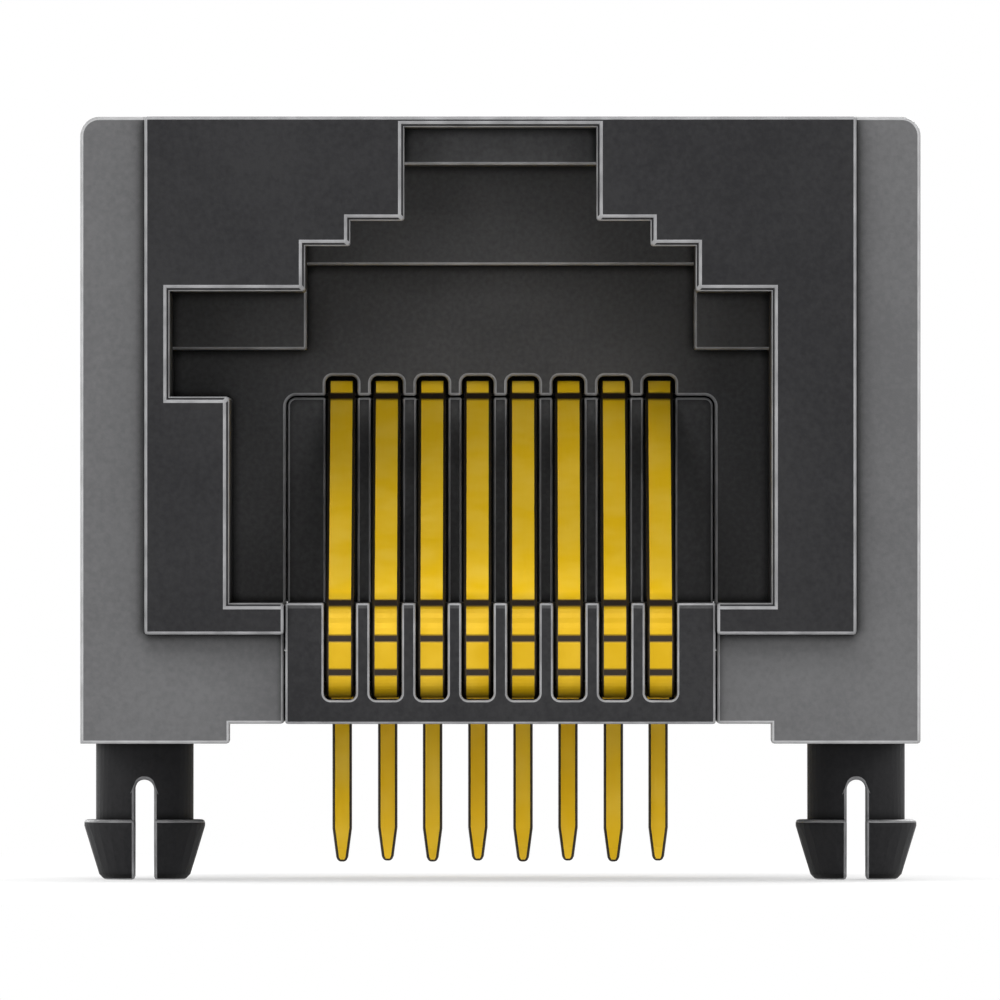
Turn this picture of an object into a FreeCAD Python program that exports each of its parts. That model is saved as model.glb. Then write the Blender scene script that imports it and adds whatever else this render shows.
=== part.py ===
import FreeCAD, Part
import math
import os

from FreeCAD import Vector

# Side-entry eight-way modular jack for a circuit board, keyed and unshielded.
# A black moulded housing with a panel flange and two split board pegs takes, from behind,
# a moulded carrier that holds eight formed spring contacts.
# All sizes are in millimetres.
# The origin is midway between the two pegs, on the board's surface.
# X runs to the right seen from the front, Y from the plug's mouth to the rear, Z up.

# Housing, outside
flange_width = 18.62
overall_height = 13.89
peg_line_to_front = 8.1
nose_width = 15.77
nose_projection = 1.0
nose_underside = 2.42
flange_thickness = 1.6
top_corner_radius = 0.42
body_underside = 0.44
foot_width = 3.31
foot_step_behind_flange = 0.25
rear_foot_length = 1.8
rear_top_chamfer = 0.5
front_wall = 1.4
roof_thickness = 1.15
core_wall = 0.90

# Wings beside the body that carry the pegs
wing_height = 2.4
wing_behind_pegs = 1.9
wing_corner_radius = 0.7
wing_top_chamfer = 0.5

# Board pegs, split so that they can spring through the board
peg_spacing = 15.88
peg_diameter = 2.18
barb_diameter = 2.70
barb_land = 0.14
peg_tip_diameter = 2.04
barb_depth = 1.73
peg_length = 3.07
peg_tip_chamfer = 0.12
peg_slot_width = 0.43
peg_slot_top_depth = 0.84

# Plug port
port_width = 12.0
port_height = 6.90
port_floor = 3.12
key_width = 1.32
key_height = 2.33
lead_in = 0.10
latch_step_widths = (8.64, 6.64, 4.25)
latch_step_heights = (1.00, 1.56, 3.63)
latch_relief_length = 3.2
latch_chamber_height = 2.82
lock_to_plug_stop = 6.7
nose_cavity_length = 2.2
nose_cavity_rise = 0.62
nose_shoulder_drop = 1.27

# Contact carrier
carrier_width = 9.53
carrier_set_back = 0.35
carrier_rear_gap = 0.30
carrier_corner_radius = 0.20
comb_top = 7.70
comb_set_back = 0.30
comb_thickness = 1.90
comb_slot_depth = 1.40
seat_lip_width = 0.55
seat_lip_thickness = 0.60
gusset_thickness = 0.70
gusset_height = 3.40
gusset_length = 2.90
gusset_spacing = 4.20
tongue_width = 0.40
tongue_height = 0.60
tongue_underside = 1.40
tongue_front_to_pegs = 5.0
snap_width = 0.45
snap_length = 1.10
snap_to_carrier_rear = 1.80
window_height = 1.10
carrier_clearance = 0.03

# Contacts, formed from flat strip
contact_count = 8
contact_pitch = 1.016
strip_thickness = 0.30
beam_width = 0.61
tail_width = 0.44
tail_tip_width = 0.27
tail_tip_thickness = 0.16
tail_length = 2.73
tail_taper_length = 0.75
tail_end_chamfer = 0.10
tail_shoulder_rise = 0.20
near_row_to_pegs = 6.35
row_spacing = 2.54
far_row_to_rear = 1.01
contact_run_height = 1.17
tail_bend_radius = 0.45
lower_bend_radius = 0.41
upper_bend_radius = 0.745
tip_bend_radius = 0.60
nose_corner_rise = 1.61
contact_front_recess = 0.12
tip_lead = 0.15
tip_angle = 34.0
tip_engagement = 0.48
contact_clearance = 0.05
notch_clearance = 0.075
groove_corner_radius = 0.15
front_lip = 1.45

# Levels and planes that follow from the sizes above
nose_front = -peg_line_to_front
flange_front = nose_front + nose_projection
flange_back = flange_front + flange_thickness
far_row = near_row_to_pegs + row_spacing
housing_rear = far_row + far_row_to_rear
lock_face = nose_front + front_wall
plug_stop = lock_face + lock_to_plug_stop
back_wall_face = plug_stop + nose_cavity_length
comb_face = back_wall_face + comb_set_back
comb_rear = comb_face + comb_thickness
lip_front = comb_rear + carrier_clearance
lip_rear = lip_front + seat_lip_thickness
port_ceiling = port_floor + port_height
chamber_ceiling = port_ceiling + latch_chamber_height
nose_ceiling = port_ceiling + nose_cavity_rise
nose_shoulder = port_ceiling - nose_shoulder_drop
foot_inner = flange_width / 2 - foot_width
rear_foot_inner = foot_inner + foot_step_behind_flange
carrier_half = carrier_width / 2
carrier_bay_half = carrier_half + carrier_clearance
carrier_front = nose_front + carrier_set_back
carrier_rear = housing_rear - carrier_rear_gap
snap_front = carrier_rear - snap_to_carrier_rear - snap_length
tongue_outer = carrier_half + tongue_width
tongue_top = tongue_underside + tongue_height
groove_width = beam_width + 2 * contact_clearance
rise_plane = carrier_front + contact_front_recess + strip_thickness / 2
nose_corner = contact_run_height + nose_corner_rise
tip_corner_plane = comb_face - tip_lead
tip_corner_height = comb_top - strip_thickness / 2
tip_end_plane = comb_face + tip_engagement
tip_end_height = tip_corner_height + (tip_end_plane - tip_corner_plane) * math.tan(math.radians(tip_angle))
tip_top = tip_end_height + strip_thickness / 2 * math.cos(math.radians(tip_angle))
notch_top = tip_top + notch_clearance
spare = 1.0


def box(x_low, x_high, y_low, y_high, z_low, z_high):
    """A plain block between two corners."""
    corner = Vector(x_low, y_low, z_low)
    return Part.makeBox(x_high - x_low, y_high - y_low, z_high - z_low, corner)


def front_prism(points, y_low, y_high):
    """A prism along Y from an outline of (x, z) points."""
    wire = Part.makePolygon([Vector(x, y_low, z) for x, z in points + points[:1]])
    return Part.Face(wire).extrude(Vector(0, y_high - y_low, 0))


def side_prism(points, x_low, x_high):
    """A prism along X from an outline of (y, z) points."""
    wire = Part.makePolygon([Vector(x_low, y, z) for y, z in points + points[:1]])
    return Part.Face(wire).extrude(Vector(x_high - x_low, 0, 0))


def long_edges_at(block, level):
    """A block's edges that run from front to back at one height."""
    edges = []
    for edge in block.Edges:
        first, second = edge.Vertexes
        level_edge = abs(first.Z - level) < 1e-6 and abs(second.Z - level) < 1e-6
        if level_edge and abs(first.X - second.X) < 1e-6:
            edges.append(edge)
    return edges


def mirrored(shape):
    """The same shape on the other side of the plane between the pegs."""
    return shape.mirror(Vector(0, 0, 0), Vector(1, 0, 0))


def both_sides(shape):
    """A shape and its mirror image, as a list."""
    return [shape, mirrored(shape)]


def offset_corners(points, distance, closed=False):
    """Corner points of a line shifted to its left by a distance, with mitred corners."""
    count = len(points)
    shifted = []
    for index, (across, up) in enumerate(points):
        normals = []
        for start, end in ((index - 1, index), (index, index + 1)):
            if not closed and (start < 0 or end >= count):
                continue
            first = points[start % count]
            second = points[end % count]
            length = math.dist(first, second)
            normals.append(((first[1] - second[1]) / length, (second[0] - first[0]) / length))
        sum_across = sum(normal[0] for normal in normals)
        sum_up = sum(normal[1] for normal in normals)
        scale = distance * len(normals) / (sum_across ** 2 + sum_up ** 2)
        shifted.append((across + sum_across * scale, up + sum_up * scale))
    return shifted


def turn_at(points, index):
    """How far a line of points turns at one of its corners, in radians, positive to the left."""
    before = math.atan2(points[index][1] - points[index - 1][1], points[index][0] - points[index - 1][0])
    after = math.atan2(points[index + 1][1] - points[index][1], points[index + 1][0] - points[index][0])
    return math.remainder(after - before, 2 * math.pi)


def rounded_run(points, radii):
    """Straight edges joined by tangent arcs through (y, z) corner points."""
    edges = []
    last = Vector(0, *points[0])
    for index in range(1, len(points) - 1):
        corner = Vector(0, *points[index])
        arriving = (corner - Vector(0, *points[index - 1])).normalize()
        leaving = (Vector(0, *points[index + 1]) - corner).normalize()
        half_turn = abs(turn_at(points, index)) / 2
        radius = radii[index - 1]
        reach = radius * math.tan(half_turn)
        inward = (leaving - arriving).normalize()
        start = corner - arriving * reach
        middle = corner + inward * (radius / math.cos(half_turn) - radius)
        end = corner + leaving * reach
        edges.append(Part.makeLine(last, start))
        edges.append(Part.Arc(start, middle, end).toShape())
        last = end
    edges.append(Part.makeLine(last, Vector(0, *points[-1])))
    return edges


def strip_along(points, radii, thickness, width):
    """A bent strip of even thickness that follows a line of (y, z) points, centred on x = 0."""
    sides = []
    for side in (1, -1):
        shifted = offset_corners(points, side * thickness / 2)
        own_radii = []
        for index, radius in enumerate(radii):
            turn = turn_at(points, index + 1)
            own_radii.append(radius - side * math.copysign(thickness / 2, turn))
        sides.append((shifted, own_radii))
    left_points, left_radii = sides[0]
    right_points, right_radii = sides[1]
    edges = rounded_run(left_points, left_radii)
    edges.append(Part.makeLine(Vector(0, *left_points[-1]), Vector(0, *right_points[-1])))
    edges += rounded_run(right_points[::-1], right_radii[::-1])
    edges.append(Part.makeLine(Vector(0, *right_points[0]), Vector(0, *left_points[0])))
    face = Part.Face(Part.Wire(edges))
    strip = face.extrude(Vector(width, 0, 0))
    strip.translate(Vector(-width / 2, 0, 0))
    return strip


def one_solid(shape):
    """The single solid of a shape, with faces in one plane joined."""
    clean = shape.removeSplitter()
    assert len(clean.Solids) == 1, "a piece came apart"
    return clean.Solids[0]


def contact_place(index):
    """X of a contact, counted from the left."""
    return (index - (contact_count - 1) / 2) * contact_pitch


def tail_row(index):
    """Y of a contact's tail: the contacts go by turns to the near and the far row."""
    return near_row_to_pegs + row_spacing * (index % 2)


def contact_path(row):
    """Corner points of a contact's middle line, from its tail's end to its free tip."""
    return [
        (row, -tail_length),
        (row, contact_run_height),
        (rise_plane, contact_run_height),
        (rise_plane, nose_corner),
        (tip_corner_plane, tip_corner_height),
        (tip_end_plane, tip_end_height),
    ]


contact_radii = [tail_bend_radius, lower_bend_radius, upper_bend_radius, tip_bend_radius]


def tail_outline(top_half, tip_half, shoulder_half, shoulder_height, top_height):
    """Half-widths of a contact seen square on: wide above its shoulder, tapered at the tail's end."""
    taper_start = -tail_length + tail_taper_length
    chamfer_half = tip_half - tail_end_chamfer / 2
    right = [
        (chamfer_half, -tail_length),
        (tip_half, -tail_length + tail_end_chamfer),
        (top_half, taper_start),
        (top_half, shoulder_height),
        (shoulder_half, shoulder_height),
        (shoulder_half, top_height),
    ]
    left = [(-across, up) for across, up in reversed(right)]
    return right + left


def contact(index):
    """One formed contact: tail, run under the carrier, bends round its nose, beam and free tip."""
    row = tail_row(index)
    strip = strip_along(contact_path(row), contact_radii, strip_thickness, beam_width)
    front_outline = tail_outline(
        tail_width / 2,
        tail_tip_width / 2,
        beam_width,
        body_underside + tail_shoulder_rise,
        overall_height,
    )
    strip = strip.common(front_prism(front_outline, nose_front, housing_rear))
    side_outline = tail_outline(
        strip_thickness,
        tail_tip_thickness / 2,
        (housing_rear - nose_front) * 2,
        -tail_length + tail_taper_length,
        overall_height,
    )
    tail_guide = side_prism([(row + y, z) for y, z in side_outline], -beam_width, beam_width)
    formed = one_solid(strip.common(tail_guide))
    formed.translate(Vector(contact_place(index), 0, 0))
    return formed


def nose_groove():
    """Open groove for a contact in the carrier's nose, with a rounded floor seen from the front."""
    floor = contact_run_height - strip_thickness / 2 - contact_clearance
    inner = rise_plane + strip_thickness / 2 + contact_clearance
    slope = (tip_corner_height - nose_corner) / (tip_corner_plane - rise_plane)
    drop = (strip_thickness / 2 + contact_clearance) * math.sqrt(1 + slope ** 2)
    top = port_floor + spare
    beam_start = nose_corner - drop + (inner - rise_plane) * slope
    beam_top = rise_plane + (top - nose_corner + drop) / slope
    tall = box(-groove_width / 2, groove_width / 2, carrier_front - spare, beam_top, floor, top)
    tall = tall.makeFillet(groove_corner_radius, long_edges_at(tall, floor))
    outline = [
        (carrier_front - spare, floor),
        (inner, floor),
        (inner, beam_start),
        (beam_top, top),
        (carrier_front - spare, top),
    ]
    return tall.common(side_prism(outline, -groove_width, groove_width))


def carrier_cuts(index):
    """What one contact takes out of the carrier: nose groove, channel under the slab and comb slot."""
    row = tail_row(index)
    around = strip_thickness + 2 * contact_clearance
    half = groove_width / 2
    channel_top = contact_run_height + around / 2
    lip_rear = carrier_front + front_lip
    cuts = [
        strip_along(contact_path(row), contact_radii, around, groove_width),
        nose_groove(),
        box(-half, half, lip_rear, row + around / 2, body_underside - spare, channel_top),
        box(-half, half, comb_face - spare, comb_face + comb_slot_depth, port_floor, comb_top + spare),
    ]
    for cut in cuts:
        cut.translate(Vector(contact_place(index), 0, 0))
    return cuts


def carrier_gussets():
    """Webs that brace the comb wall from behind."""
    inside_comb = lip_rear - seat_lip_thickness / 2
    inside_slab = port_floor - spare / 2
    outline = [
        (inside_comb, inside_slab),
        (lip_rear + gusset_length, inside_slab),
        (lip_rear + gusset_length, port_floor),
        (lip_rear, port_floor + gusset_height),
        (inside_comb, port_floor + gusset_height),
    ]
    gussets = []
    for place in (-gusset_spacing, 0, gusset_spacing):
        half = gusset_thickness / 2
        gussets.append(side_prism(outline, place - half, place + half))
    return gussets


def carrier_side_rail():
    """Tongue on the carrier's right side, with the wedge that snaps into the housing's window."""
    inside = carrier_half - spare / 2
    tongue = box(
        inside,
        tongue_outer,
        -tongue_front_to_pegs,
        carrier_rear,
        tongue_underside,
        tongue_top,
    )
    wedge_points = [
        Vector(inside, snap_front, tongue_underside),
        Vector(tongue_outer, snap_front, tongue_underside),
        Vector(tongue_outer + snap_width, snap_front + snap_length, tongue_underside),
        Vector(inside, snap_front + snap_length, tongue_underside),
    ]
    wire = Part.makePolygon(wedge_points + wedge_points[:1])
    wedge = Part.Face(wire).extrude(Vector(0, 0, tongue_height))
    return tongue.fuse(wedge)


def contact_carrier():
    """The carrier: slab under the port, comb wall behind it, lip that seats it, rails and webs."""
    slab = box(-carrier_half, carrier_half, carrier_front, carrier_rear, body_underside, port_floor)
    comb = box(-carrier_half, carrier_half, comb_face, lip_rear, body_underside, comb_top)
    comb = comb.makeFillet(carrier_corner_radius, long_edges_at(comb, comb_top))
    lip_half = carrier_half + seat_lip_width
    lip = box(-lip_half, lip_half, lip_front, lip_rear, port_floor, comb_top + seat_lip_width)
    carrier = slab.fuse([comb, lip] + carrier_gussets() + both_sides(carrier_side_rail()))
    cuts = []
    for index in range(contact_count):
        cuts += carrier_cuts(index)
    return one_solid(carrier.cut(cuts))


def rounded_top_outline(half_width, low_points):
    """An outline of the housing seen from the front, with both top corners rounded."""
    radius = top_corner_radius
    top = overall_height
    bend = radius * (1 - math.sqrt(0.5))
    right_side = Vector(half_width, 0, top - radius)
    left_side = Vector(-half_width, 0, top - radius)
    right_top = Vector(half_width - radius, 0, top)
    left_top = Vector(-half_width + radius, 0, top)
    right_middle = Vector(half_width - bend, 0, top - bend)
    left_middle = Vector(-half_width + bend, 0, top - bend)
    low = [Vector(x, 0, z) for x, z in low_points]
    edges = [
        Part.Arc(right_side, right_middle, right_top).toShape(),
        Part.makeLine(right_top, left_top),
        Part.Arc(left_top, left_middle, left_side).toShape(),
        Part.makeLine(left_side, low[0]),
    ]
    for start, end in zip(low, low[1:]):
        edges.append(Part.makeLine(start, end))
    edges.append(Part.makeLine(low[-1], right_side))
    return Part.Face(Part.Wire(edges))


def flange():
    """The panel flange, with a foot below each side."""
    half = flange_width / 2
    low_points = [
        (-half, 0),
        (-foot_inner, 0),
        (-foot_inner, body_underside),
        (foot_inner, body_underside),
        (foot_inner, 0),
        (half, 0),
    ]
    plate = rounded_top_outline(half, low_points).extrude(Vector(0, flange_thickness, 0))
    plate.translate(Vector(0, flange_front, 0))
    return plate


def body_block():
    """The block behind the flange, with the chamfer along its rear top edge."""
    half = nose_width / 2
    low_points = [(-half, body_underside), (half, body_underside)]
    block = rounded_top_outline(half, low_points).extrude(Vector(0, housing_rear - flange_front, 0))
    block.translate(Vector(0, flange_front, 0))
    wedge = side_prism(
        [
            (housing_rear - rear_top_chamfer, overall_height),
            (housing_rear, overall_height - rear_top_chamfer),
            (housing_rear + spare, overall_height - rear_top_chamfer),
            (housing_rear + spare, overall_height + spare),
            (housing_rear - rear_top_chamfer, overall_height + spare),
        ],
        -flange_width,
        flange_width,
    )
    return block.cut(wedge)


def peg_wing():
    """The right wing that carries a peg, from the flange to just behind the peg."""
    half = flange_width / 2
    rear = wing_behind_pegs
    wing = box(rear_foot_inner, half, flange_front, rear, 0, wing_height)
    upright = [
        edge
        for edge in wing.Edges
        if all(abs(vertex.X - half) < 1e-6 and abs(vertex.Y - rear) < 1e-6 for vertex in edge.Vertexes)
    ]
    wing = wing.makeFillet(wing_corner_radius, upright)
    slope = front_prism(
        [
            (half - wing_top_chamfer, wing_height),
            (half, wing_height - wing_top_chamfer),
            (half + spare, wing_height - wing_top_chamfer),
            (half + spare, wing_height + spare),
            (half - wing_top_chamfer, wing_height + spare),
        ],
        flange_back,
        rear + spare,
    )
    return wing.cut(slope)


def rear_foot():
    """The right foot at the rear, level with the foot below the flange."""
    return box(
        rear_foot_inner,
        nose_width / 2,
        housing_rear - rear_foot_length,
        housing_rear,
        0,
        body_underside + spare / 2,
    )


def board_peg():
    """The right peg: a round shank and a barb, split from the front to the back."""
    outline = [
        (0, spare / 2),
        (peg_diameter / 2, spare / 2),
        (peg_diameter / 2, -barb_depth),
        (barb_diameter / 2, -barb_depth),
        (barb_diameter / 2, -barb_depth - barb_land),
        (peg_tip_diameter / 2, -peg_length + peg_tip_chamfer),
        (peg_tip_diameter / 2 - peg_tip_chamfer, -peg_length),
        (0, -peg_length),
    ]
    wire = Part.makePolygon([Vector(x, 0, z) for x, z in outline + outline[:1]])
    peg = Part.Face(wire).revolve(Vector(0, 0, 0), Vector(0, 0, 1), 360)
    half = peg_slot_width / 2
    reach = barb_diameter
    arch_centre = -peg_slot_top_depth - half
    slot = box(-half, half, -reach, reach, -peg_length - spare, arch_centre)
    arch = Part.makeCylinder(half, 2 * reach, Vector(0, -reach, arch_centre), Vector(0, 1, 0))
    peg = peg.cut(slot.fuse(arch))
    peg.translate(Vector(peg_spacing / 2, 0, 0))
    return peg


def port_outline():
    """The plug's mouth seen from the front: port, key slot on the left, stepped latch opening."""
    half = port_width / 2
    step_halves = [width / 2 for width in latch_step_widths]
    step_tops = [port_ceiling + height for height in latch_step_heights]
    points = [(-half, port_floor), (half, port_floor), (half, port_ceiling)]
    level = port_ceiling
    rising = []
    for step_half, step_top in zip(step_halves, step_tops):
        rising.append((step_half, level))
        rising.append((step_half, step_top))
        level = step_top
    points += rising
    points += [(-across, up) for across, up in reversed(rising)]
    points += [
        (-half - key_width, port_ceiling),
        (-half - key_width, port_ceiling - key_height),
        (-half, port_ceiling - key_height),
    ]
    return points


def mouth_lead_in():
    """The sloping lead-in round the whole mouth."""
    inner = port_outline()
    outer = offset_corners(inner, -lead_in, closed=True)
    wires = []
    for outline, depth in ((outer, nose_front), (inner, nose_front + lead_in)):
        wires.append(Part.makePolygon([Vector(x, depth, z) for x, z in outline + outline[:1]]))
    return Part.makeLoft(wires, True, True)


def plug_port():
    """Everything the plug and its latch need: mouth, port, key slot, latch chamber and plug stop."""
    half = port_width / 2
    key_side = -half - key_width
    key_floor = port_ceiling - key_height
    chamber_half = latch_step_widths[0] / 2
    relief_half = latch_step_widths[-1] / 2
    relief_top = port_ceiling + latch_step_heights[-1]
    relief_end = nose_front + latch_relief_length
    back = back_wall_face
    return [
        front_prism(port_outline(), nose_front - spare, lock_face),
        mouth_lead_in(),
        box(-half, half, lock_face, plug_stop, port_floor, port_ceiling),
        box(key_side, half, lock_face, plug_stop, key_floor, port_ceiling),
        box(-chamber_half, chamber_half, lock_face, plug_stop, port_floor, chamber_ceiling),
        box(-relief_half, relief_half, nose_front - spare, relief_end, port_floor, relief_top),
        box(-half, half, lock_face, back, port_floor, nose_shoulder),
        box(key_side, half, lock_face, back, key_floor, nose_shoulder),
        box(-chamber_half, chamber_half, lock_face, back, port_floor, nose_ceiling),
    ]


def carrier_bay():
    """The way in for the carrier from behind, its rail grooves, snap windows and the open rear bay."""
    half = port_width / 2
    rear = housing_rear + spare
    low = body_underside - spare
    bay_top = overall_height - roof_thickness
    groove = box(
        0,
        tongue_outer + carrier_clearance,
        -tongue_front_to_pegs - carrier_clearance,
        rear,
        tongue_underside - carrier_clearance,
        tongue_top + carrier_clearance,
    )
    window_middle = (tongue_underside + tongue_top) / 2
    window = box(
        0,
        nose_width,
        snap_front - carrier_clearance,
        snap_front + snap_length + carrier_clearance,
        window_middle - window_height / 2,
        window_middle + window_height / 2,
    )
    slab_way = box(-carrier_bay_half, carrier_bay_half, nose_front - spare, rear, low, port_floor)
    comb_way_top = comb_top + carrier_clearance
    comb_way = box(-carrier_bay_half, carrier_bay_half, back_wall_face - spare, rear, low, comb_way_top)
    comb_way_radius = carrier_corner_radius + carrier_clearance
    comb_way = comb_way.makeFillet(comb_way_radius, long_edges_at(comb_way, comb_way_top))
    rear_bay = box(-half, half, comb_rear, rear, port_floor, bay_top)
    return [slab_way, comb_way, rear_bay] + both_sides(groove) + both_sides(window)


def side_core():
    """Core pocket from behind in the thick moulding beside the latch chamber, on the right."""
    return box(
        latch_step_widths[0] / 2 + core_wall,
        nose_width / 2 - core_wall,
        flange_back + core_wall,
        comb_rear + spare,
        port_ceiling + core_wall,
        overall_height - roof_thickness,
    )


def comb_notches():
    """Notches above the carrier's comb in which the contacts' free tips ride."""
    notches = []
    for index in range(contact_count):
        notch = box(
            -groove_width / 2,
            groove_width / 2,
            back_wall_face - spare,
            comb_face + comb_slot_depth,
            comb_top - spare,
            notch_top,
        )
        notch = notch.makeFillet(groove_corner_radius, long_edges_at(notch, notch_top))
        notch.translate(Vector(contact_place(index), 0, 0))
        notches.append(notch)
    return notches


def housing():
    """The one-piece moulded housing."""
    half = nose_width / 2
    nose = box(-half, half, nose_front, flange_front + spare / 2, nose_underside, overall_height)
    solid = flange().fuse([nose, body_block()] + both_sides(peg_wing()) + both_sides(rear_foot()))
    solid = solid.fuse(both_sides(board_peg()))
    solid = solid.cut(plug_port() + carrier_bay() + comb_notches() + both_sides(side_core()))
    return one_solid(solid)


os.makedirs("parts", exist_ok=True)
housing().exportStep("parts/housing.step")
contact_carrier().exportStep("parts/contact_carrier.step")
for number in range(contact_count):
    contact(number).exportStep("parts/contact_" + str(number + 1) + ".step")
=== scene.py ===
import math

import bpy
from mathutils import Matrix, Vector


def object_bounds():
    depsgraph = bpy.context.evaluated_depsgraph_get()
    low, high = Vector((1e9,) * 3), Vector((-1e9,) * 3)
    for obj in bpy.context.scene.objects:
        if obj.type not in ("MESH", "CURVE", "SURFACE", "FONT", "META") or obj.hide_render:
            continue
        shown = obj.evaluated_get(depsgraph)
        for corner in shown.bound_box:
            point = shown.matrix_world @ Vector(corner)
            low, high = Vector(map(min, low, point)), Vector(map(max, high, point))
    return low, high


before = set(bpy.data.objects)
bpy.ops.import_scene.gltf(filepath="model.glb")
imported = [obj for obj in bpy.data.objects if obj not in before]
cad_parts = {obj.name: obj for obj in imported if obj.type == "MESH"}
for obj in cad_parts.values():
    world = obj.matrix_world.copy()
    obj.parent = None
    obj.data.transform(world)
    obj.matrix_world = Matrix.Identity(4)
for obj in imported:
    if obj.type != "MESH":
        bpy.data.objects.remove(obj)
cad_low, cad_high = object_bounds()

# The finish, light and camera for an eight-way board jack.
# All lengths are in metres, in the frame of the model: X right seen from the front, Z up.
MM = 0.001

# Sizes of the model that the finishes follow
NOSE_HALF = 7.885 * MM
NOSE_UNDERSIDE = 2.42 * MM
FLANGE_FRONT = -7.1 * MM
FLANGE_BACK = -5.5 * MM
WING_REAR = 1.9 * MM
BODY_UNDERSIDE = 0.44 * MM
MASK_MARGIN = 0.02 * MM
PORT_REACH = ((-7.6 * MM, 7.6 * MM), (-8.0 * MM, 4.3 * MM), (3.0 * MM, 13.75 * MM))

# The photo's frame: its scale, and the pixel that lies on the origin
PHOTO_PIXELS = 1000
PIXELS_PER_MM = 45.0
ORIGIN_PIXEL_X = 500.4
ORIGIN_PIXEL_Z = 743.0
SCALE_PLANE_Y = -4.5 * MM
CAMERA_HALF_ANGLE = math.radians(0.7)
SENSOR_WIDTH = 36.0

# How far each lamp stands from the object's middle, and the level of the light from all round
LAMP_DISTANCE = 300 * MM
SURROUNDINGS_LEVEL = 0.20

# The floor's half width, its two tones, and how its own white rises away from the object
FLOOR_HALF = 400 * MM
FLOOR_TONES = ((0.90, 0.90, 0.90, 1.0), (0.86, 0.86, 0.865, 1.0))
FLOOR_ROUGHNESS = 0.9
WHITE_RISES_FROM = 18 * MM
WHITE_IS_FULL_AT = 60 * MM
WHITE_AT_OBJECT = 0.5

# Edges: what counts as one point and as one flat face, the angles from which an edge that
# stands out is rounded a little and in full, and the width of the round on each kind of piece
WELD_REACH = 0.0005 * MM
FLAT_WITHIN = math.radians(0.6)
ROUNDED_FROM = math.radians(32)
FULL_ROUND_FROM = math.radians(75)
ROUND_SEGMENTS = 2
HOUSING_ROUND = 0.068 * MM
CARRIER_ROUND = 0.05 * MM
CONTACT_ROUND = 0.06 * MM

# Forming marks across the contacts: their heights, and how far back from the front they reach
NOSE_MARK_HEIGHTS = (1.58 * MM, 2.33 * MM, 3.12 * MM)
NOSE_MARKS_END = -6.6 * MM
TIP_MARK_HEIGHT = 7.73 * MM
MARK_HALF = 0.055 * MM
MARK_FADE = 0.05 * MM
# Where the gold, painted darker on the lit front of the nose, gives way to gold painted lighter on
# the beams and tails in shade: painted light
GOLD_PAINTED_DARKER_END = -7.3 * MM
GOLD_PAINTED_LIGHTER_START = -6.6 * MM

# Colours as linear values
PLASTIC = ((0.011, 0.011, 0.012, 1.0), (0.018, 0.018, 0.019, 1.0))
# The port's walls, painted paler than the outside: painted light against the shade in the port
PORT_PLASTIC_PAINTED_PALER = ((0.036, 0.036, 0.037, 1.0), (0.053, 0.053, 0.054, 1.0))
# The flange, wings and their undersides, painted paler than the rest of the one moulding: painted
# light
FLANGE_PAINTED_PALER = ((0.078, 0.078, 0.080, 1.0), (0.095, 0.095, 0.097, 1.0))
CARRIER = ((0.012, 0.012, 0.013, 1.0), (0.020, 0.020, 0.021, 1.0))
# Pale colours on the rounded edges of the mouldings: painted highlights
PLASTIC_EDGE_HIGHLIGHT = ((0.150, 0.150, 0.154, 1.0), (0.220, 0.220, 0.225, 1.0))
FLANGE_EDGE_HIGHLIGHT = ((0.240, 0.240, 0.243, 1.0), (0.310, 0.310, 0.315, 1.0))
# Gold painted lighter on the beams and tails, which stand in shade, and darker on the lit nose:
# painted light and painted shade
GOLD_PAINTED_LIGHTER = ((0.92, 0.57, 0.012, 1.0), (0.96, 0.63, 0.050, 1.0))
GOLD_PAINTED_DARKER = ((0.45, 0.275, 0.005, 1.0), (0.50, 0.315, 0.015, 1.0))
GOLD_MARK = (0.022, 0.016, 0.012, 1.0)
SHEARED_EDGE = ((0.022, 0.018, 0.016, 1.0), (0.060, 0.044, 0.024, 1.0))


def add(tree, kind, **settings):
    """A new shader node with its properties set."""
    node = tree.nodes.new(kind)
    for name, value in settings.items():
        setattr(node, name, value)
    return node


def feed(tree, node, name, value):
    """Sets an input of a node, or links it when the value is a socket."""
    socket = node.inputs[name]
    if isinstance(value, bpy.types.NodeSocket):
        tree.links.new(value, socket)
    else:
        socket.default_value = value


def new_material(name):
    """An empty material with its Principled shader, and the object's own coordinates in metres."""
    material = bpy.data.materials.new(name)
    material.use_nodes = True
    tree = material.node_tree
    shader = tree.nodes["Principled BSDF"]
    place = add(tree, "ShaderNodeTexCoord").outputs["Object"]
    return material, tree, shader, place


def noise(tree, place, size, detail=2.0, stretch=None):
    """Noise whose grains are about the given size, from 0 to 1."""
    if stretch:
        mapping = add(tree, "ShaderNodeMapping")
        feed(tree, mapping, "Vector", place)
        feed(tree, mapping, "Scale", stretch)
        place = mapping.outputs["Vector"]
    node = add(tree, "ShaderNodeTexNoise")
    feed(tree, node, "Vector", place)
    feed(tree, node, "Scale", 1.0 / size)
    feed(tree, node, "Detail", detail)
    return node.outputs["Fac"]


def math_node(tree, operation, first, second=0.5):
    """One arithmetic step on two values or sockets."""
    node = add(tree, "ShaderNodeMath", operation=operation)
    for index, value in enumerate((first, second)):
        if isinstance(value, bpy.types.NodeSocket):
            tree.links.new(value, node.inputs[index])
        else:
            node.inputs[index].default_value = value
    return node.outputs["Value"]


def spread(tree, value, low, high, to_low=0.0, to_high=1.0):
    """Maps a value from one range to another and holds it there."""
    node = add(tree, "ShaderNodeMapRange")
    feed(tree, node, "Value", value)
    feed(tree, node, "From Min", low)
    feed(tree, node, "From Max", high)
    feed(tree, node, "To Min", to_low)
    feed(tree, node, "To Max", to_high)
    return node.outputs["Result"]


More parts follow.
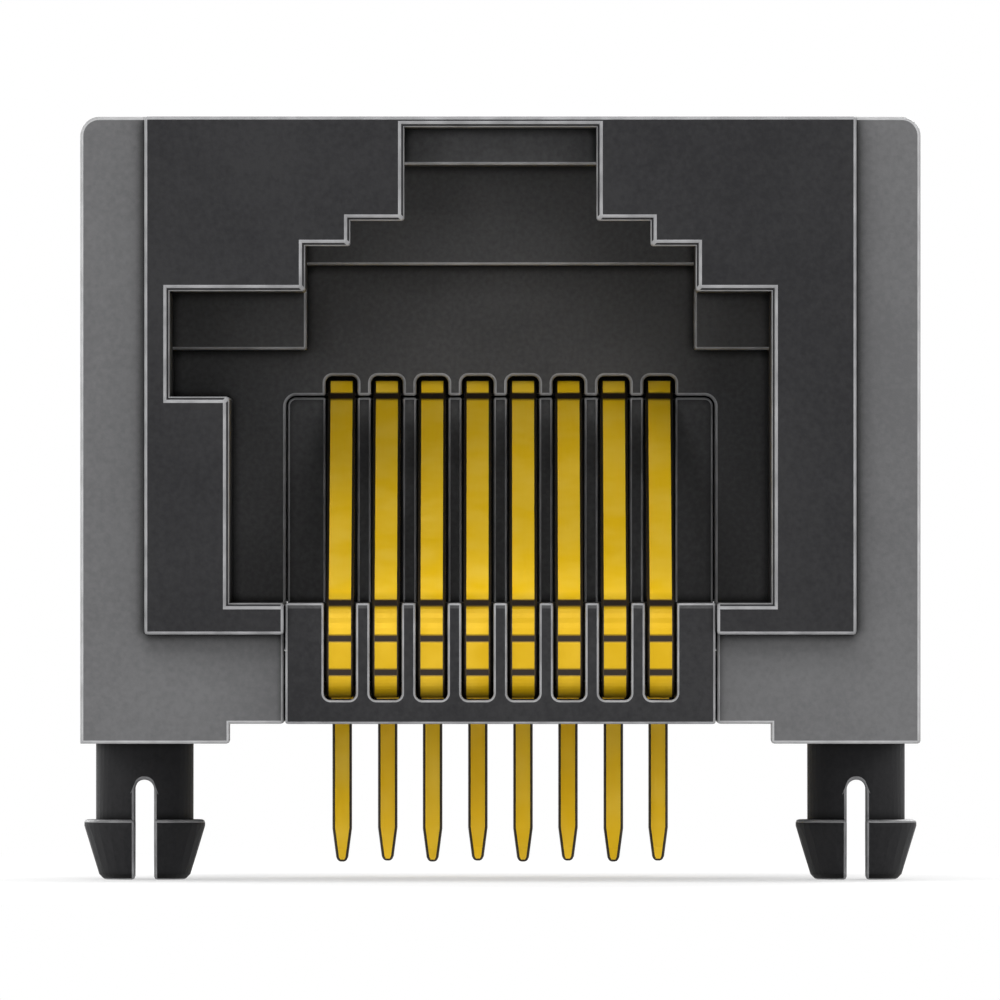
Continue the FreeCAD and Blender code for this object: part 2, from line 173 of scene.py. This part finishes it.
def blend_colours(tree, share, first, second):
    """A colour between two others."""
    node = add(tree, "ShaderNodeMix", data_type="RGBA")
    for name, value in (("Factor", share), ("A", first), ("B", second)):
        sockets = [s for s in node.inputs if s.name == name and s.enabled]
        if isinstance(value, bpy.types.NodeSocket):
            tree.links.new(value, sockets[0])
        else:
            sockets[0].default_value = value
    return [s for s in node.outputs if s.enabled][0]


def bump(tree, shader, height, depth, before=None):
    """Adds relief of the given depth, in metres, to the shader's normal."""
    node = add(tree, "ShaderNodeBump")
    feed(tree, node, "Height", height)
    feed(tree, node, "Strength", 1.0)
    feed(tree, node, "Distance", depth)
    if before is not None:
        tree.links.new(before, node.inputs["Normal"])
    tree.links.new(node.outputs["Normal"], shader.inputs["Normal"])
    return node.outputs["Normal"]


def inside(tree, value, low, high):
    """1 where a value lies between two limits."""
    above = math_node(tree, "GREATER_THAN", value, low)
    below = math_node(tree, "LESS_THAN", value, high)
    return math_node(tree, "MULTIPLY", above, below)


def flange_mask(tree, place):
    """1 on the flange, the wings and their undersides, which are painted paler as painted light, 0
    on the rest of the housing.
    """
    axes = add(tree, "ShaderNodeSeparateXYZ")
    tree.links.new(place, axes.inputs[0])
    x, y, z = axes.outputs
    away = math_node(tree, "ABSOLUTE", x)
    beside = math_node(tree, "GREATER_THAN", away, NOSE_HALF + MASK_MARGIN)
    above_board = math_node(tree, "GREATER_THAN", z, -MASK_MARGIN)
    plate = inside(tree, y, FLANGE_FRONT - MASK_MARGIN, FLANGE_BACK + MASK_MARGIN)
    reach = inside(tree, y, FLANGE_FRONT - MASK_MARGIN, WING_REAR + MASK_MARGIN)
    below_nose = inside(tree, z, -MASK_MARGIN, NOSE_UNDERSIDE + MASK_MARGIN)
    below_body = inside(tree, z, -MASK_MARGIN, BODY_UNDERSIDE - MASK_MARGIN)
    side_part = math_node(tree, "MULTIPLY", math_node(tree, "MULTIPLY", beside, reach), above_board)
    low_part = math_node(tree, "MULTIPLY", plate, below_nose)
    foot_part = math_node(tree, "MULTIPLY", reach, below_body)
    return math_node(tree, "MAXIMUM", math_node(tree, "MAXIMUM", side_part, low_part), foot_part)


def port_mask(tree, place):
    """1 on the walls of the port, which the mould's core formed and which are painted paler as
    painted light against their shade, 0 elsewhere.
    """
    axes = add(tree, "ShaderNodeSeparateXYZ")
    tree.links.new(place, axes.inputs[0])
    share = 1.0
    for axis, (low, high) in zip(axes.outputs, PORT_REACH):
        share = math_node(tree, "MULTIPLY", inside(tree, axis, low, high), share)
    return share


def painted_corner_shade(tree, distance):
    """Ambient occlusion, which paints shade into corners: 0 deep in a corner, 1 in the open."""
    node = add(tree, "ShaderNodeAmbientOcclusion", samples=6)
    feed(tree, node, "Distance", distance)
    return node.outputs["AO"]


def darkened(tree, colour, share):
    """A colour multiplied by a share."""
    shade = add(tree, "ShaderNodeMix", data_type="RGBA", blend_type="MULTIPLY")
    shade.inputs[0].default_value = 1.0
    tree.links.new(colour, shade.inputs[6])
    tree.links.new(share, shade.inputs[7])
    return shade.outputs[2]


def moulded_plastic(name, tones, roughness, painted_pale_tones=None):
    """Moulded plastic: fine grain, flow marks, a port painted paler as painted light, painted shade
    in the corners, and a flange painted paler when its tones are given.
    """
    material, tree, shader, place = new_material(name)
    flow = noise(tree, place, 3.5 * MM, 3.0, (1.0, 0.35, 1.0))
    speck = noise(tree, place, 0.11 * MM, 2.0)
    tone = spread(tree, math_node(tree, "ADD", flow, speck), 0.75, 1.25)
    colour = blend_colours(tree, tone, *tones)
    gloss = spread(tree, speck, 0.3, 0.7, roughness - 0.05, roughness + 0.06)
    # Painted light: the port's walls painted paler against the shade inside them
    painted_port_share = port_mask(tree, place)
    colour = blend_colours(tree, painted_port_share, colour, blend_colours(tree, tone, *PORT_PLASTIC_PAINTED_PALER))
    # Painted light: the flange painted paler than the rest of the moulding
    if painted_pale_tones:
        painted_pale_share = flange_mask(tree, place)
        colour = blend_colours(tree, painted_pale_share, colour, blend_colours(tree, tone, *painted_pale_tones))
    # Painted shade: the colour darkened in corners and creases, from ambient occlusion
    corner = spread(tree, painted_corner_shade(tree, 0.22 * MM), 0.5, 0.92, 0.06, 1.0)
    tree.links.new(darkened(tree, colour, corner), shader.inputs["Base Color"])
    tree.links.new(gloss, shader.inputs["Roughness"])
    shader.inputs["Specular IOR Level"].default_value = 0.13
    grain = noise(tree, place, 0.07 * MM, 3.0)
    swell = noise(tree, place, 2.2 * MM, 1.0)
    first = bump(tree, shader, grain, 0.004 * MM)
    bump(tree, shader, swell, 0.05 * MM, first)
    return material


def forming_marks(tree, place):
    """1 on the fine lines that the forming tools leave across a contact at its bends."""
    axes = add(tree, "ShaderNodeSeparateXYZ")
    tree.links.new(place, axes.inputs[0])
    y, z = axes.outputs[1], axes.outputs[2]
    near_nose = math_node(tree, "LESS_THAN", y, NOSE_MARKS_END)
    lines = 0.0
    for height in NOSE_MARK_HEIGHTS:
        distance = math_node(tree, "ABSOLUTE", math_node(tree, "SUBTRACT", z, height))
        line = spread(tree, distance, MARK_HALF, MARK_HALF + MARK_FADE, 1.0, 0.0)
        lines = math_node(tree, "MAXIMUM", line, lines)
    lines = math_node(tree, "MULTIPLY", lines, near_nose)
    distance = math_node(tree, "ABSOLUTE", math_node(tree, "SUBTRACT", z, TIP_MARK_HEIGHT))
    tip_line = spread(tree, distance, MARK_HALF, MARK_HALF + MARK_FADE, 1.0, 0.0)
    return math_node(tree, "MAXIMUM", lines, tip_line)


def plated_gold():
    """Gold over formed strip: darker on the lit nose and lighter on the shaded beams, which is
    painted light and shade, and dark at the bends.
    """
    material, tree, shader, place = new_material("contact_gold_plate")
    streak = noise(tree, place, 0.05 * MM, 2.0, (1.0, 0.06, 0.06))
    cloud = noise(tree, place, 0.9 * MM, 2.0)
    tone = spread(tree, cloud, 0.35, 0.7)
    axes = add(tree, "ShaderNodeSeparateXYZ")
    tree.links.new(place, axes.inputs[0])
    # Painted light: the gold painted darker on the lit nose front and lighter behind it, in the
    # shade
    painted_lighter_share = spread(tree, axes.outputs[1], GOLD_PAINTED_DARKER_END, GOLD_PAINTED_LIGHTER_START)
    painted_darker_gold = blend_colours(tree, tone, *GOLD_PAINTED_DARKER)
    plate = blend_colours(tree, painted_lighter_share, painted_darker_gold, blend_colours(tree, tone, *GOLD_PAINTED_LIGHTER))
    marks = forming_marks(tree, place)
    colour = blend_colours(tree, marks, plate, GOLD_MARK)
    tree.links.new(colour, shader.inputs["Base Color"])
    tree.links.new(spread(tree, streak, 0.3, 0.7, 0.30, 0.42), shader.inputs["Roughness"])
    shader.inputs["Metallic"].default_value = 0.24
    shader.inputs["Specular IOR Level"].default_value = 0.15
    first = bump(tree, shader, streak, 0.0015 * MM)
    bump(tree, shader, math_node(tree, "SUBTRACT", 1.0, marks), 0.02 * MM, first)
    return material


def sheared_edge():
    """The cut edge of the plated strip: duller and darker than its faces."""
    material, tree, shader, place = new_material("contact_cut_edge")
    grain = noise(tree, place, 0.06 * MM, 3.0)
    colour = blend_colours(tree, spread(tree, grain, 0.3, 0.7), *SHEARED_EDGE)
    tree.links.new(colour, shader.inputs["Base Color"])
    tree.links.new(spread(tree, grain, 0.3, 0.7, 0.35, 0.5), shader.inputs["Roughness"])
    shader.inputs["Metallic"].default_value = 0.6
    bump(tree, shader, grain, 0.002 * MM)
    return material


def painted_edge_highlight(name, tones, painted_pale_tones=None):
    """Rounded edges of a moulding painted pale, with a lower roughness: painted highlights."""
    material, tree, shader, place = new_material(name)
    edge_highlight_mottle = noise(tree, place, 0.5 * MM, 3.0)
    tone = spread(tree, edge_highlight_mottle, 0.35, 0.65)
    colour = blend_colours(tree, tone, *tones)
    # Painted light: the flange's edges painted paler still
    if painted_pale_tones:
        painted_pale_share = flange_mask(tree, place)
        colour = blend_colours(tree, painted_pale_share, colour, blend_colours(tree, tone, *painted_pale_tones))
    tree.links.new(colour, shader.inputs["Base Color"])
    tree.links.new(spread(tree, edge_highlight_mottle, 0.3, 0.7, 0.34, 0.46), shader.inputs["Roughness"])
    shader.inputs["Specular IOR Level"].default_value = 0.3
    bump(tree, shader, noise(tree, place, 0.07 * MM, 2.0), 0.002 * MM)
    return material


def convex_edge_marker():
    """Geometry nodes that mark the edges which stand out, the sharp ones most."""
    group = bpy.data.node_groups.new("standing_edges", "GeometryNodeTree")
    for direction in ("INPUT", "OUTPUT"):
        group.interface.new_socket("Geometry", in_out=direction, socket_type="NodeSocketGeometry")
    source = group.nodes.new("NodeGroupInput")
    result = group.nodes.new("NodeGroupOutput")
    angle = group.nodes.new("GeometryNodeInputMeshEdgeAngle")
    sharp = group.nodes.new("FunctionNodeCompare")
    sharp.data_type = "FLOAT"
    sharp.operation = "GREATER_THAN"
    sharp.inputs["B"].default_value = ROUNDED_FROM
    share = group.nodes.new("ShaderNodeMath")
    share.operation = "DIVIDE"
    share.use_clamp = True
    share.inputs[1].default_value = FULL_ROUND_FROM
    weight = group.nodes.new("ShaderNodeMath")
    weight.operation = "MULTIPLY"
    store = group.nodes.new("GeometryNodeStoreNamedAttribute")
    store.data_type = "FLOAT"
    store.domain = "EDGE"
    store.inputs["Name"].default_value = "bevel_weight_edge"
    group.links.new(source.outputs[0], store.inputs["Geometry"])
    group.links.new(angle.outputs["Signed Angle"], sharp.inputs["A"])
    group.links.new(angle.outputs["Signed Angle"], share.inputs[0])
    group.links.new(sharp.outputs[0], weight.inputs[0])
    group.links.new(share.outputs[0], weight.inputs[1])
    group.links.new(weight.outputs[0], store.inputs["Value"])
    group.links.new(store.outputs[0], result.inputs[0])
    return group


def soften_edges(piece, width, marker):
    """Joins corners and flat facets, then gives the marked edges a small round."""
    welded = piece.modifiers.new("joined_corners", "WELD")
    welded.merge_threshold = WELD_REACH
    joined = piece.modifiers.new("joined_facets", "DECIMATE")
    joined.decimate_type = "DISSOLVE"
    joined.angle_limit = FLAT_WITHIN
    marked = piece.modifiers.new("standing_edges", "NODES")
    marked.node_group = marker
    rounded = piece.modifiers.new("rounded_edges", "BEVEL")
    rounded.width = width
    rounded.segments = ROUND_SEGMENTS
    rounded.limit_method = "WEIGHT"
    rounded.harden_normals = True
    rounded.use_clamp_overlap = False
    # The rounds take the second material: painted highlights on the mouldings, the cut edge on the
    # contacts
    rounded.material = 1


def dress(name, face_material, edge_material, edge_width):
    """Gives a CAD node the material of its faces, and rounded edges with their own, painted
    highlights on the mouldings.
    """
    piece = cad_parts[name]
    piece.data.materials.clear()
    piece.data.materials.append(face_material)
    piece.data.materials.append(edge_material)
    for polygon in piece.data.polygons:
        polygon.use_smooth = False
    soften_edges(piece, edge_width, standing_edges)


def backdrop_share(tree):
    """1 for rays from the camera, a mirror or a lens, which see the plain white surroundings."""
    path = add(tree, "ShaderNodeLightPath")
    share = path.outputs["Is Camera Ray"]
    for name in ("Is Glossy Ray", "Is Transmission Ray"):
        share = math_node(tree, "MAXIMUM", share, path.outputs[name])
    return share


def white_surroundings(strength):
    """A world that looks white and lights the object softly and evenly."""
    world = bpy.data.worlds.new("studio")
    bpy.context.scene.world = world
    world.use_nodes = True
    tree = world.node_tree
    background = tree.nodes["Background"]
    background.inputs["Color"].default_value = (1.0, 1.0, 1.0, 1.0)
    level = spread(tree, backdrop_share(tree), 0.0, 1.0, strength, 1.0)
    tree.links.new(level, background.inputs["Strength"])


def pale_floor():
    """A pale floor that stays white round the object, keeps its shadow and is clear from below."""
    level = cad_low.z
    turns = ((-1, -1), (1, -1), (1, 1), (-1, 1))
    corners = [(x * FLOOR_HALF, y * FLOOR_HALF, level) for x, y in turns]
    mesh = bpy.data.meshes.new("studio_floor")
    mesh.from_pydata(corners, [], [(0, 1, 2, 3)])
    floor = bpy.data.objects.new("studio_floor", mesh)
    bpy.context.scene.collection.objects.link(floor)
    material, tree, shader, place = new_material("studio_floor")
    mottle = noise(tree, place, 20 * MM, 2.0)
    tree.links.new(blend_colours(tree, mottle, *FLOOR_TONES), shader.inputs["Base Color"])
    shader.inputs["Roughness"].default_value = FLOOR_ROUGHNESS
    glow = add(tree, "ShaderNodeEmission")
    glow.inputs["Strength"].default_value = 1.0
    mix = add(tree, "ShaderNodeMixShader")
    away = add(tree, "ShaderNodeVectorMath", operation="LENGTH")
    tree.links.new(place, away.inputs[0])
    reach = away.outputs["Value"]
    plain = spread(tree, reach, WHITE_RISES_FROM, WHITE_IS_FULL_AT, WHITE_AT_OBJECT, 1.0)
    share = math_node(tree, "MULTIPLY", backdrop_share(tree), plain)
    tree.links.new(share, mix.inputs[0])
    tree.links.new(shader.outputs[0], mix.inputs[1])
    tree.links.new(glow.outputs[0], mix.inputs[2])
    one_sided = add(tree, "ShaderNodeMixShader")
    tree.links.new(add(tree, "ShaderNodeNewGeometry").outputs["Backfacing"], one_sided.inputs[0])
    tree.links.new(mix.outputs[0], one_sided.inputs[1])
    tree.links.new(add(tree, "ShaderNodeBsdfTransparent").outputs[0], one_sided.inputs[2])
    tree.links.new(one_sided.outputs[0], tree.nodes["Material Output"].inputs["Surface"])
    mesh.materials.append(material)


def softbox(name, azimuth, elevation, size, level, mirrored=True):
    """A square soft lamp; at level 1 a surface square to it shows its own colour."""
    aim = (cad_low + cad_high) / 2
    turn = math.radians(azimuth)
    rise = math.radians(elevation)
    toward = (math.sin(turn) * math.cos(rise), -math.cos(turn) * math.cos(rise), math.sin(rise))
    lamp = bpy.data.lights.new(name, "AREA")
    lamp.shape = "SQUARE"
    lamp.size = size
    lamp.energy = level * math.pi ** 2 * LAMP_DISTANCE ** 2
    holder = bpy.data.objects.new(name, lamp)
    bpy.context.scene.collection.objects.link(holder)
    holder.location = [middle + LAMP_DISTANCE * part for middle, part in zip(aim, toward)]
    holder.rotation_mode = "QUATERNION"
    holder.rotation_quaternion = (aim - holder.location).to_track_quat("-Z", "Y")
    holder.visible_glossy = mirrored


def studio_lights():
    """Four soft lamps round the camera that reach into the port, and others all round and above."""
    softbox("lamp_low_left", -13, 3, 56 * MM, 0.21, mirrored=False)
    softbox("lamp_low_right", 13, 3, 56 * MM, 0.21, mirrored=False)
    softbox("lamp_front_mid", 4, 19, 80 * MM, 0.33, mirrored=False)
    softbox("lamp_front_high", -14, 35, 120 * MM, 0.30)
    softbox("lamp_left", -65, 25, 130 * MM, 0.24)
    softbox("lamp_right", 60, 20, 130 * MM, 0.19)
    softbox("lamp_above", 0, 82, 150 * MM, 0.42)
    softbox("lamp_behind", 160, 30, 130 * MM, 0.55)
    softbox("lamp_behind_left", -145, 20, 130 * MM, 0.30)


def camera():
    """A long lens square on to the front, framed as the photo is."""
    scene = bpy.context.scene
    scale = PIXELS_PER_MM / MM
    half_frame = PHOTO_PIXELS / 2 / scale
    data = bpy.data.cameras.new("front_camera")
    data.sensor_width = SENSOR_WIDTH
    data.lens = SENSOR_WIDTH / 2 / math.tan(CAMERA_HALF_ANGLE)
    distance = half_frame / math.tan(CAMERA_HALF_ANGLE)
    holder = bpy.data.objects.new("front_camera", data)
    scene.collection.objects.link(holder)
    holder.location = (
        (PHOTO_PIXELS / 2 - ORIGIN_PIXEL_X) / scale,
        SCALE_PLANE_Y - distance,
        (ORIGIN_PIXEL_Z - PHOTO_PIXELS / 2) / scale,
    )
    holder.rotation_euler = (math.pi / 2, 0, 0)
    data.clip_start = distance / 10
    data.clip_end = distance * 3
    scene.camera = holder


housing_plastic = moulded_plastic("housing_plastic", PLASTIC, 0.55, FLANGE_PAINTED_PALER)
# Painted highlights on the rounded edges of the housing and the carrier
housing_edge_highlight = painted_edge_highlight("housing_painted_edge_highlight", PLASTIC_EDGE_HIGHLIGHT, FLANGE_EDGE_HIGHLIGHT)
carrier_plastic = moulded_plastic("carrier_plastic", CARRIER, 0.50)
carrier_edge_highlight = painted_edge_highlight("carrier_painted_edge_highlight", PLASTIC_EDGE_HIGHLIGHT)
gold = plated_gold()
cut_edge = sheared_edge()
standing_edges = convex_edge_marker()
dress("housing", housing_plastic, housing_edge_highlight, HOUSING_ROUND)
dress("contact_carrier", carrier_plastic, carrier_edge_highlight, CARRIER_ROUND)
for node_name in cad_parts:
    if node_name.removeprefix("contact_").isdigit():
        dress(node_name, gold, cut_edge, CONTACT_ROUND)

white_surroundings(SURROUNDINGS_LEVEL)
pale_floor()
studio_lights()
camera()
bpy.context.scene.view_settings.view_transform = "Standard"
